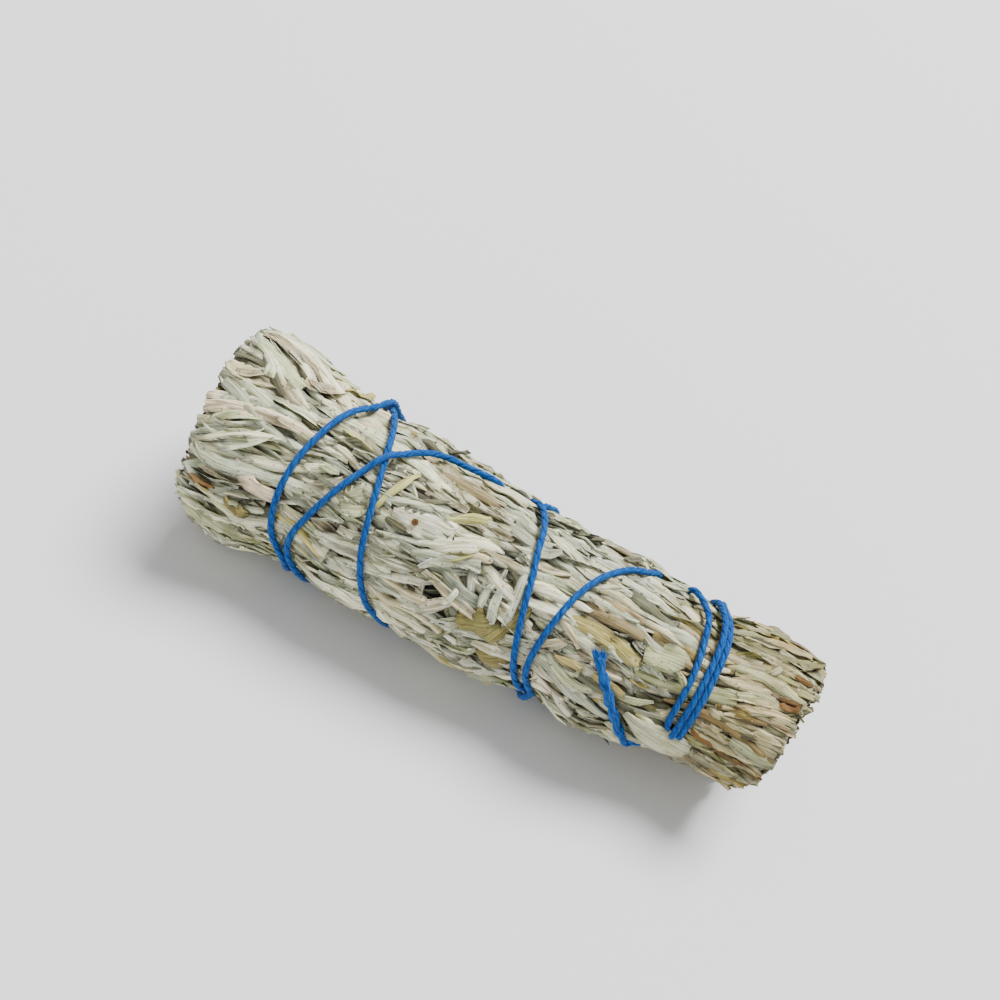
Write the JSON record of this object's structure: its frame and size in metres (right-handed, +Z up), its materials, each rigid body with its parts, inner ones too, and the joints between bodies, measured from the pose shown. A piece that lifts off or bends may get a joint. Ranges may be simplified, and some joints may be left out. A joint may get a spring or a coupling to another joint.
{
  "type": "sage bunch",
  "caption": "Dried sage sprigs pressed into a rough cylinder, cut square at both ends and wound with crossing turns of blue cotton twine.",
  "frame": {"origin": "on the surface that the bundle lies on, under the middle of its box", "axes": "+X along the bundle towards the slimmer, tied end; +Z up; -Y is the front, where the twine's twisted ends lie"},
  "size_m": [0.118, 0.0376, 0.0358],
  "materials": {
    "sage_leaves": "dried felted sage leaves, silvery grey-green with tan and olive ones among them, matt",
    "sage_heart": "pressed inner leaves and woody stems, tan to olive brown, matt",
    "blue_twine": "two-ply cotton twine, cobalt blue, matt and slightly hairy"
  },
  "bodies": {
    "root": {"sprig_outer_01": "sage_leaves", "sprig_outer_02": "sage_leaves", "sprig_outer_03": "sage_leaves", "sprig_outer_04": "sage_leaves", "sprig_outer_05": "sage_leaves", "sprig_outer_06": "sage_leaves", "sprig_outer_07": "sage_leaves", "sprig_outer_08": "sage_leaves", "sprig_outer_09": "sage_leaves", "sprig_outer_10": "sage_leaves", "sprig_inner_1": "sage_heart", "sprig_inner_2": "sage_heart", "sprig_inner_3": "sage_heart", "twine": "blue_twine"}
  },
  "joints": []
}
